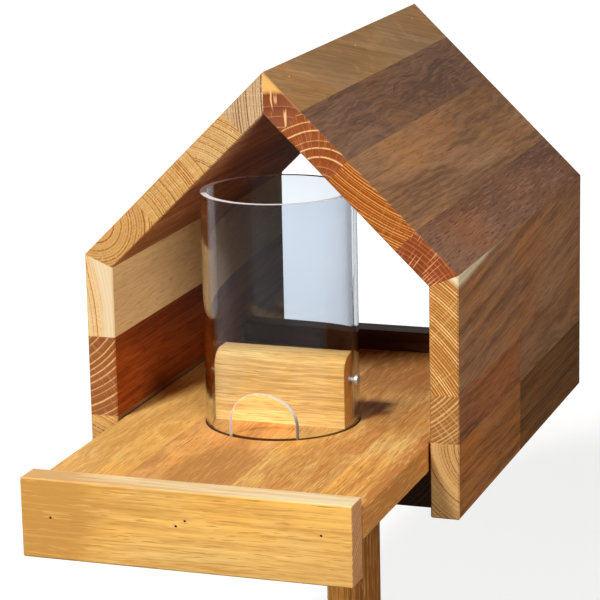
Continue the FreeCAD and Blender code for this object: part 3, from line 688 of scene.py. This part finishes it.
oak_board("left_roof_upper_stave", FLAXEN, (-29, -64), 1.4, 3.0, **close)
oak_board("left_roof_lower_stave", HONEY, (-62, -52), 1.6, 3.0, **close)
oak_board("left_roof_eave_stave", BUFF, (-16, 6), 1.8, 4.0, **close)
print("roof staves", sum("_roof_" in node for node in nodes))

# %% [markdown]
# ## The walls
# Both walls are three staves high. The left wall's top stave is cut next to the bark, so half of it is
# cream sapwood. On the right wall the two lower courses are each made of a front and a rear length, which
# meet end to end, and the rear ones are darker: partly in their own tone, partly as painted shade where the
# light falls off towards the back.

# %% Wall staves
SAPPY = timber("E1AF68", "F0D29F", "AE7227", "D2BD98", "DFB880")
MAROON = timber("A04E1A", "9C6238", "DFAE76", deeper=BLACKENED)
TAN = timber("A0683C", "E4B56E", "8F5626")
OLIVE = timber("A2734F", "B07331", "E1BC7C", "E0CDA4")
SMOKY = timber("905D3B", "A4703D", "CFA66A")
FIGURED = timber("A2693A", "D8AC6F", "845129")
UMBER = timber("986D4A", "A5703E", "D0A068")
EBON = timber("785029", "A5703E", "D0A068")

oak_board("left_wall_upper_stave", SAPPY, (-231, -33), 2.7, 5.0, sap=233, marks=(1.0, 0.15, 0.7))
# Painted shade along the top of the middle stave's inner face, darker than its lit bottom and front
painted_top_shade = heart_and_shade_patch((-106, -60, 292), (20, 150, 34), 0.8)
oak_board("left_wall_middle_stave", MAROON, (-41, 60), 4.2, 4.0, marks=(1.0, 0.25, 0.5), **painted_top_shade)
oak_board("left_wall_lower_stave", TAN, (-77, -129), 2.6, 3.0, marks=(1.0, 0.2, 0.6))
sapwood = {"sap": 178, "marks": (1.0, 0.4, 0.5), "Curl": 6 * MM}
oak_board("right_wall_upper_stave", OLIVE, (-103, -108), 1.7, 3.0, (5.0, 0.0), **sapwood)
oak_board("right_wall_middle_front_stave", SMOKY, (-60, 75), 2.4, 3.0, marks=(0.9, 0.6, 0.5), Curl=8 * MM)
# The rear staves' darker colours are partly painted shade
oak_board("right_wall_middle_rear_stave", UMBER, (-70, 20), 2.4, 3.0, marks=(0.9, 0.4, 0.5), Curl=8 * MM)
oak_board("right_wall_lower_front_stave", FIGURED, (32, 24), 2.2, 3.0, marks=(0.9, 0.6, 0.5))
oak_board("right_wall_lower_rear_stave", EBON, (60, 50), 2.4, 3.0, marks=(0.9, 0.4, 0.5))
print("wall staves", sum("_wall_" in node for node in nodes))

# %% [markdown]
# ## Tray, base and post
# The tray is the part that light and hands reach, so its oak is the warmest. Its two right staves turn
# darker and reddish towards the back and the edge, which is painted shade: the roof shades the back, and the
# edge faces away from the main lamp. The front board runs across the tray, so its grain is turned to lie
# along X, and the post's grain stands upright; its pale left and dark right side are painted light and
# painted shade. Hardly any light reaches the base board and the rear board, and their near-black colour is
# painted shade.

# %% Tray, base and post boards
WARM = timber("E5BB71", "B8803F", "D9AA66", deeper=GLOWING)
REDDISH = timber("E7B16B", "B0763A", "D9AA66", deeper=TANNED)
RUSTY = timber("E2BC72", "B0763A", "D9AA66", deeper=FOXY)
# On the front board, colour E4D8B5 is painted light on its top, not sapwood
LIGHT = timber("E3B96E", "C99262", "D9B080", face_sap="E4D8B5", deeper=GLOWING)
PALE = timber("FBD78F", "D88A36", "E09A4C", deeper=SPICED)
# Near-black oak for the base and rear board: painted shade, since these boards sit in shadow
PAINTED_SHADE_OAK = timber("5A381E", "24170E", "33241A")
# The post's pale face stands in for light on its left side: painted light
POST_OAK = timber("E6A862", "B47C48", "CA9660", deeper=SHADED)

tray_piths = ((30, -70), (-20, -45), (25, -90), (-80, -30))
# The third patch is painted shade of the roof on the tray's back, the fourth painted shade on its right edge;
# the second is dark heartwood
tray_hearts_and_shades = (
    heart_and_shade_patch((-90, -200, 232), (20, 60, 20), 0.2),
    heart_and_shade_patch((-8, -250, 232), (30, 60, 20), 0.9),
    heart_and_shade_patch((45, 50, 232), (60, 140, 20), 1.1),
    heart_and_shade_patch((105, -150, 222), (8, 500, 90), 1.6),
)
tray_woods = (WARM, REDDISH, RUSTY, RUSTY)
for place, (pith, dark, wood) in enumerate(zip(tray_piths, tray_hearts_and_shades, tray_woods), 1):
    fine = dark | {"Rays": 170.0, "Curl": 10 * MM, "Face warm": scaled(wood["Face"], RUDDY)}
    oak_board(f"tray_stave_{place}", wood, pith, 3.0, 6.0, marks=(0.6, 0.3, 1.0), **fine)
base_piths = ((20, 60), (-35, 45), (10, 80), (50, 40), (-60, 70))
for place, pith in enumerate(base_piths, 1):
    oak_board(f"base_stave_{place}", PAINTED_SHADE_OAK, pith, 3.0)
# The dark left end is the board's own heartwood; its paler top is painted light
dark_end_and_lit_top = heart_and_shade_patch((-104, -319, 216), (58, 60, 52), 1.2) | {"Painted top light": 0.7}
oak_board("front_board", LIGHT, (60, -75), 3.0, 6.0, ALONG_X, marks=(0.6, 0.3, 0.9), **dark_end_and_lit_top)
oak_board("rear_board", PAINTED_SHADE_OAK, (50, 40), 3.0, 4.0, ALONG_X)
oak_board("seed_block", PALE, (18, -50), 2.6, 6.0, ALONG_X, marks=(0.6, 0.3, 0.9), Curl=8 * MM)
# Painted shade on the post's right side
shaded = heart_and_shade_patch((17, -14, 120), (13, 40, 300), 1.0)
oak_board("post", POST_OAK, (6, 0), 3.0, 3.0, ALONG_Z, marks=(0.7, 0.5, 0.6), **shaded)
print("boards finished", sum(material.name.startswith("oak_") for material in bpy.data.materials))

# %% [markdown]
# ## The groove round the tube
# The tube stands in a ring-shaped groove cut into two of the tray's staves. The groove lies in shade, and
# that shade is painted: a thin dark line runs round the tube's foot. A separate ring would have to be cut
# into the tray, but the oak can simply turn dark wherever a point lies at the groove's distance from the
# tube's axis.

# %% Darken the groove
# The colour of the groove's painted shade
PAINTED_GROOVE_SHADE = colour("442410")
GROOVE_INSIDE = (45.2 * MM, 45.8 * MM)
GROOVE_OUTSIDE = (50.9 * MM, 50.3 * MM)
GROOVED_STAVES = ("tray_stave_2", "tray_stave_3")


def paint_groove_shade(node, axis):
    """Paints the groove's shade on a tray stave, in the ring about an upright axis."""
    tree = nodes[node].data.materials[0].node_tree
    base = tree.nodes["Principled BSDF"].inputs["Base Color"]
    place = add(tree, "ShaderNodeTexCoord").outputs["Object"]
    from_axis = add(tree, "ShaderNodeVectorMath", (place, axis), operation="SUBTRACT").outputs[0]
    level = add(tree, "ShaderNodeVectorMath", (from_axis, (1, 1, 0)), operation="MULTIPLY").outputs[0]
    radius = add(tree, "ShaderNodeVectorMath", (level,), operation="LENGTH").outputs["Value"]
    ring = calc(tree, "MULTIPLY", fade(tree, radius, *GROOVE_INSIDE), fade(tree, radius, *GROOVE_OUTSIDE))
    tree.links.new(mix(tree, ring, base.links[0].from_socket, PAINTED_GROOVE_SHADE), base)


tube_low, tube_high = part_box("seed_tube")
tube_axis = (tube_low + tube_high) / 2
for node in GROOVED_STAVES:
    paint_groove_shade(node, tube_axis)
print("groove about", [round(1000 * value) for value in tube_axis.xy], "mm")

# %% [markdown]
# ## The rounded block
# The block stands across the tube and parts the seed. Its front edge was rounded over with a router, so
# that no seed rests on it, and its ends stayed square, because they fit against the tube. The ready-made
# block has one small round on every top edge, so a new one takes its place, in the same box and the same
# oak. A bevelled cube would do, but a side profile pushed out along X states its one radius plainly.

# %% Make the block
ROUND_OVER = 11 * MM
ARC_STEPS = 12
STILL_SMOOTH = radians(30)

low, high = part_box("seed_block")
arc = [radians(90 * step / ARC_STEPS) for step in range(ARC_STEPS + 1)]
profile = [(low.y + ROUND_OVER * (1 - cos(a)), high.z - ROUND_OVER * (1 - sin(a))) for a in arc]
profile += [(high.y, high.z), (high.y, low.z), (low.y, low.z)]
count = len(profile)
corners = [(x, y, z) for x in (low.x, high.x) for y, z in profile]
sides = [(i, i + count, (i + 1) % count + count, (i + 1) % count) for i in range(count)]
square_ends = [range(count), range(2 * count - 1, count - 1, -1)]
block_mesh = bpy.data.meshes.new("rounded_block")
block_mesh.from_pydata(corners, [], sides + square_ends)
block_mesh.shade_smooth()
block_mesh.set_sharp_from_angle(angle=STILL_SMOOTH)
block_mesh.materials.append(nodes["seed_block"].data.materials[0])
rounded_block = bpy.data.objects.new("rounded_block", block_mesh)
scene.collection.objects.link(rounded_block)
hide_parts("seed_block")
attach(rounded_block, "tray")
block_mm = [round(side / MM) for side in high - low]
print("block", block_mm, "mm, rounded over", round(ROUND_OVER / MM), "mm")

# %% [markdown]
# ## The seed tube
# The tube is a piece of clear acrylic pipe. A see-through mix would be quick, but it would not bend what
# stands behind the wall, and the bright and dark bands along the sides are just that bending. So it is a
# real glass shader with acrylic's own refraction. Lamps shine through it unbent, which keeps the shadows
# inside clean. Sawn edges, at the rim and the outlet, are matt and nearly white, and hold back the lamps.

# %% Acrylic
ACRYLIC_BEND = 1.49
ACRYLIC_TINT = colour("E1E8F0")
SAWN_EDGE = colour("F4EFED")
SAWN_ROUGHNESS = 0.5
SAWN_SOLIDITY = 0.8
ROUND_WALL = (0.35, 0.6)


def sawn_share(tree, axis):
    """1 on the pipe's sawn edges, whose faces don't look straight in or out, else 0."""
    coordinates = add(tree, "ShaderNodeTexCoord").outputs
    place = coordinates["Object"]
    from_axis = add(tree, "ShaderNodeVectorMath", (place, axis), operation="SUBTRACT").outputs[0]
    level = add(tree, "ShaderNodeVectorMath", (from_axis, (1, 1, 0)), operation="MULTIPLY").outputs[0]
    outward = add(tree, "ShaderNodeVectorMath", (level,), operation="NORMALIZE").outputs[0]
    straight = add(tree, "ShaderNodeVectorMath", (coordinates["Normal"], outward), operation="DOT_PRODUCT")
    facing_out = calc(tree, "ABSOLUTE", straight.outputs["Value"])
    return calc(tree, "SUBTRACT", 1.0, fade(tree, facing_out, *ROUND_WALL))


def acrylic(axis):
    """Clear acrylic with frosted saw cuts, for a pipe about an upright axis."""
    material = bpy.data.materials.new("acrylic_pipe")
    material.use_nodes = True
    tree = material.node_tree
    shader = tree.nodes["Principled BSDF"]
    shader.inputs["IOR"].default_value = ACRYLIC_BEND
    sawn = sawn_share(tree, axis)
    tree.links.new(mix(tree, sawn, ACRYLIC_TINT, SAWN_EDGE), shader.inputs["Base Color"])
    tree.links.new(calc(tree, "MULTIPLY", sawn, SAWN_ROUGHNESS), shader.inputs["Roughness"])
    clearness = calc(tree, "MULTIPLY_ADD", sawn, -SAWN_SOLIDITY, 1.0)
    tree.links.new(clearness, shader.inputs["Transmission Weight"])
    path = add(tree, "ShaderNodeLightPath").outputs
    lamp_ray = calc(tree, "MAXIMUM", path["Is Shadow Ray"], path["Is Diffuse Ray"])
    unbent = calc(tree, "MULTIPLY", lamp_ray, clearness)
    through = add(tree, "ShaderNodeBsdfTransparent", {"Color": WHITE}).outputs[0]
    pipe = add(tree, "ShaderNodeMixShader", (unbent, shader.outputs[0], through)).outputs[0]
    tree.links.new(pipe, tree.nodes["Material Output"].inputs["Surface"])
    return material


dress("seed_tube", acrylic(tube_axis))
print("tube", round(1000 * (tube_high.x - tube_low.x)), "mm across")

# %% [markdown]
# ## Fasteners and dowels
# Brads and screws are bright zinc-plated steel; only the front board's brads are dark. The dowels that hold
# the walls to the base are plain beech, hidden in the joint. Steel here is a metal shader whose tone and
# roughness waver in fine specks.

# %% Steel and beech
SPECKS = 900.0
SPECK_SEED = 3.0
STEEL_ROUGHNESS = 0.4
SPECK_ROUGHNESS = 0.3


def steel(name, dull, bright):
    """Steel with fine specks between a dull and a bright tone."""
    material = bpy.data.materials.new(name)
    material.use_nodes = True
    tree = material.node_tree
    shader = tree.nodes["Principled BSDF"]
    place = add(tree, "ShaderNodeTexCoord").outputs["Object"]
    specks = cloud(tree, stretched(tree, place, SPECKS, SPECKS), SPECK_SEED, DETAILED)["Fac"]
    tree.links.new(mix(tree, specks, colour(dull), colour(bright)), shader.inputs["Base Color"])
    roughness = calc(tree, "MULTIPLY_ADD", specks, SPECK_ROUGHNESS, STEEL_ROUGHNESS)
    tree.links.new(roughness, shader.inputs["Roughness"])
    shader.inputs["Metallic"].default_value = 1.0
    return material


bright_steel = steel("bright_steel", "A8A6A3", "DEDCD8")
for node in nodes:
    if node.endswith(("_brads", "_screws")):
        dress(node, bright_steel)
dress("front_board_brads", steel("dark_steel", "2A1C12", "4A3424"))
BEECH = timber("D9B48A", "D0A87C", "E0C09A")
oak_board("base_dowels", BEECH, (0, 0), 2.0, 1.0, ALONG_X)
print("steel on", sum(node.endswith(("_brads", "_screws")) for node in nodes), "kinds of fastener")
